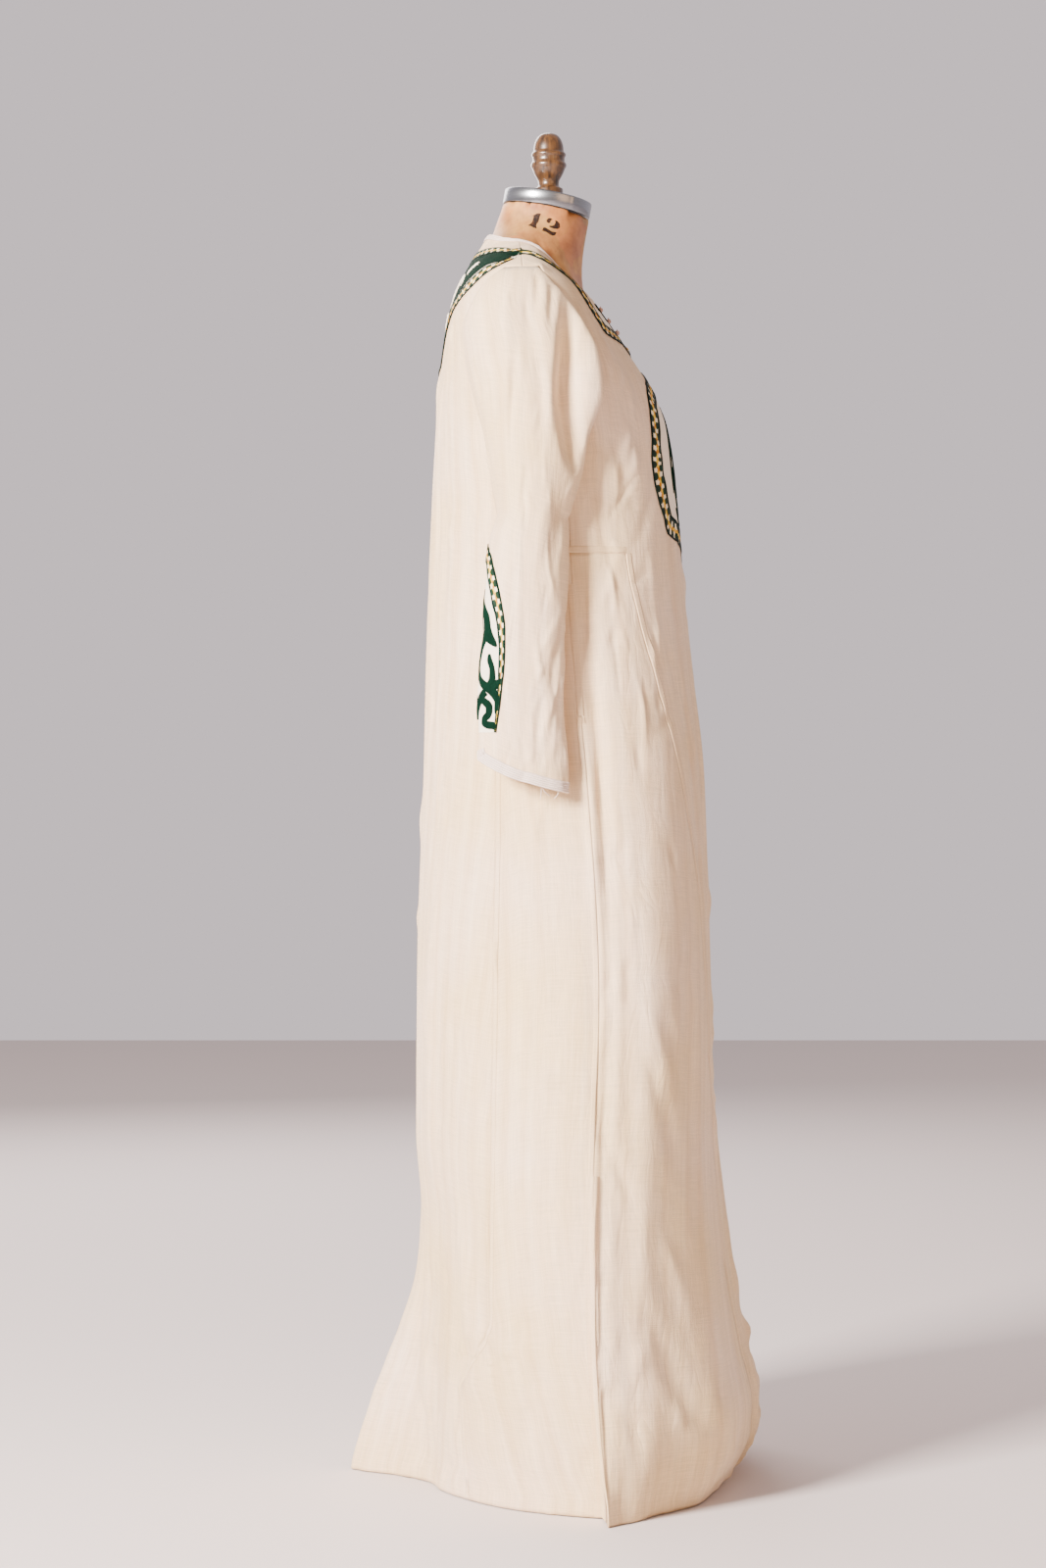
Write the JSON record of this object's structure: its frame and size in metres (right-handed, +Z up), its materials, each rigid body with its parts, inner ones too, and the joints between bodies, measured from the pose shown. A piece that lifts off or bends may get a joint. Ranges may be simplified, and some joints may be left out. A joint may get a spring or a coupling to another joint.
{
  "type": "kaftan dress on a dress form",
  "caption": "Floor-length embroidered kaftan dress with long sleeves and side slits, on a limbless dress form with a turned knob.",
  "frame": {"origin": "centre of the base's underside, on the floor and on the pole's axis", "axes": "+Z up; the front of the dress faces -Y; the wearer's right side is at -X"},
  "size_m": [0.6723, 0.4613, 1.51],
  "materials": {
    "cloth": "cream plain-weave cotton",
    "braid": "white flat braid and cord",
    "embroidery": "dark green satin stitch with yellow and white squares",
    "kraft": "varnished brown paper over papier mache",
    "steel": "brushed",
    "wood": "turned and varnished",
    "iron": "black enamel"
  },
  "bodies": {
    "root": {"back_gore_left": "cloth", "back_gore_right": "cloth", "back_panel": "cloth", "back_yoke": "embroidery", "button_1": "braid", "button_2": "braid", "button_3": "braid", "button_loop_1": "braid", "button_loop_2": "braid", "button_loop_3": "braid", "collar_band_left": "embroidery", "collar_band_right": "embroidery", "cuff_braid_left": "braid", "cuff_braid_right": "braid", "form_base": "iron", "form_cap": "steel", "form_knob": "wood", "form_pole": "steel", "form_torso": "kraft", "front_gore_left": "cloth", "front_gore_right": "cloth", "front_panel": "cloth", "front_plastron": "embroidery", "neck_binding": "braid", "neck_placket": "cloth", "sleeve_arch_left": "embroidery", "sleeve_arch_right": "embroidery", "sleeve_left": "cloth", "sleeve_right": "cloth"}
  },
  "joints": []
}
